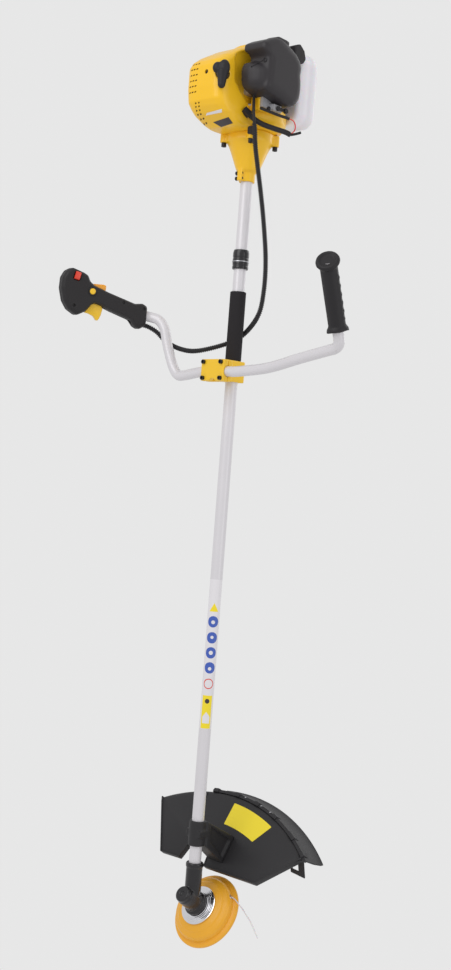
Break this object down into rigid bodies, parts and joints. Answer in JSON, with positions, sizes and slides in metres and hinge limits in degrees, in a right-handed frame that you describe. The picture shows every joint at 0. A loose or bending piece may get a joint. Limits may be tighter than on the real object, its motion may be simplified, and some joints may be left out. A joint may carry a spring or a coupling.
{
  "type": "brush cutter",
  "caption": "Petrol brush cutter: long straight shaft, bullhorn handlebar, engine with air cleaner and tank, angled gear head, line head and guard.",
  "frame": {"origin": "centre of the harness eyelet hole on the shaft", "axes": "+Z along the shaft tube towards the engine, +X to the machine's left side, +Y to its underside"},
  "size_m": [0.6839, 0.4688, 1.9243],
  "materials": {
    "tube_silver": "satin silver paint",
    "yellow_plastic": "moulded, semi-gloss",
    "orange_plastic": "moulded, semi-gloss",
    "black_plastic": "moulded, fine grain",
    "dark_grey_plastic": "moulded, satin",
    "tank_plastic": "translucent, milky",
    "white_plastic": "plain",
    "red_plastic": "glossy",
    "foam": "closed-cell foam",
    "rubber": "matt",
    "filter_foam": "open-cell foam",
    "steel": "machined",
    "chrome_steel": "plated",
    "dark_steel": "blackened",
    "black_paint": "gloss paint",
    "alloy": "cast"
  },
  "bodies": {
    "machine": {"shaft_tube": "tube_silver", "tube_bushes": "white_plastic", "foam_grip": "foam", "harness_clamp": "black_plastic", "hanger_plate": "steel", "bar_cap": "yellow_plastic", "bar_bracket": "yellow_plastic", "handlebar_tubes": "tube_silver", "left_grip": "rubber", "handle_shell_left": "black_plastic", "handle_shell_right": "black_plastic", "throttle_cable": "rubber", "clutch_housing": "yellow_plastic", "clutch_shoes": "dark_steel", "flywheel": "alloy", "fan_housing": "yellow_plastic", "crankcase": "alloy", "crankshaft": "steel", "connecting_rod": "steel", "piston": "alloy", "cylinder_barrel": "alloy", "spark_plug": "steel", "plug_boot": "rubber", "ignition_coil": "black_plastic", "muffler": "steel", "carburettor": "alloy", "filter_base": "black_plastic", "filter_foam": "filter_foam", "filter_cover": "dark_grey_plastic", "cylinder_shroud": "yellow_plastic", "fuel_tank": "tank_plastic", "starter_housing": "yellow_plastic", "wire_loom": "rubber", "guard": "black_plastic", "guard_extension": "black_plastic", "guard_bracket": "black_plastic", "line_knife": "steel", "ball_bearings": "steel", "gearcase": "black_paint", "fasteners": "dark_steel"},
    "head": {"bevel_gear": "steel", "output_shaft": "steel", "adapter_ring": "chrome_steel", "head_housing": "orange_plastic", "head_cover": "orange_plastic", "spool": "white_plastic", "trimmer_line": "white_plastic"},
    "bump": {"bump_knob": "black_plastic"},
    "drive": {"drive_shaft": "steel", "pinion_gear": "steel", "clutch_drum": "steel"},
    "trigger": {"throttle_trigger": "yellow_plastic"},
    "lockout": {"throttle_lockout": "orange_plastic"},
    "button": {"lock_button": "yellow_plastic"},
    "switch": {"stop_switch": "red_plastic"},
    "primer": {"primer_bulb": "rubber"},
    "choke": {"choke_lever": "black_plastic"},
    "cap": {"fuel_cap": "black_plastic"},
    "starter_grip": {"starter_handle": "black_plastic"},
    "reel": {"starter_reel": "black_plastic"}
  },
  "joints": [
    {"name": "head_spin", "type": "hinge", "parent": "machine", "child": "head", "pos_m": [0.02404, -0.02404, -1.369], "axis": [0, -0.8387, 0.5446], "continuous": true},
    {"name": "shaft_spin", "type": "hinge", "parent": "machine", "child": "drive", "pos_m": [0.02404, -0.02404, 0], "axis": [0, 0, 1], "continuous": true},
    {"name": "bump_press", "type": "slide", "parent": "head", "child": "bump", "axis": [0, -0.8387, 0.5446], "range_m": [0, 0.006], "stiffness_N_per_m": 400, "springref_m": -0.002},
    {"name": "trigger_pull", "type": "hinge", "parent": "machine", "child": "trigger", "pos_m": [-0.22628, -0.22454, -0.11572], "axis": [0.9101, -0.4041, -0.092], "range_deg": [0, 18], "stiffness_Nm_per_rad": 0.8, "springref_deg": -8.59},
    {"name": "lockout_press", "type": "hinge", "parent": "machine", "child": "lockout", "pos_m": [-0.22152, -0.22173, -0.08103], "axis": [0.9101, -0.4041, -0.092], "range_deg": [-12, 0], "stiffness_Nm_per_rad": 0.4, "springref_deg": 8.59},
    {"name": "lock_button_press", "type": "slide", "parent": "machine", "child": "button", "axis": [-0.9101, 0.4041, 0.092], "range_m": [0, 0.003], "stiffness_N_per_m": 300, "springref_m": -0.003},
    {"name": "stop_rock", "type": "hinge", "parent": "machine", "child": "switch", "pos_m": [-0.21832, -0.26599, -0.06147], "axis": [-0.3788, -0.901, 0.2113], "range_deg": [0, 14]},
    {"name": "primer_press", "type": "slide", "parent": "machine", "child": "primer", "axis": [0, -1, 0], "range_m": [0, 0.004], "stiffness_N_per_m": 200, "springref_m": -0.003},
    {"name": "choke_turn", "type": "hinge", "parent": "machine", "child": "choke", "pos_m": [0.11804, -0.04804, 0.304], "axis": [-1, 0, 0], "range_deg": [0, 45]},
    {"name": "fuel_cap_turn", "type": "hinge", "parent": "machine", "child": "cap", "pos_m": [-0.05796, 0.06796, 0.393], "axis": [-1, 0, 0], "continuous": true},
    {"name": "starter_pull", "type": "slide", "parent": "machine", "child": "starter_grip", "axis": [1, 0, 0], "range_m": [0, 0.1], "stiffness_N_per_m": 30, "springref_m": -0.03},
    {"name": "reel_turn", "type": "hinge", "parent": "machine", "child": "reel", "pos_m": [0.02404, -0.02404, 0.411], "axis": [0, 0, 1], "range_deg": [-134, 0]}
  ],
  "couplings": [
    {"joint": "shaft_spin", "follows": "head_spin", "ratio": -1.3571},
    {"joint": "reel_turn", "follows": "starter_pull", "rad_per_m": -23.256}
  ]
}
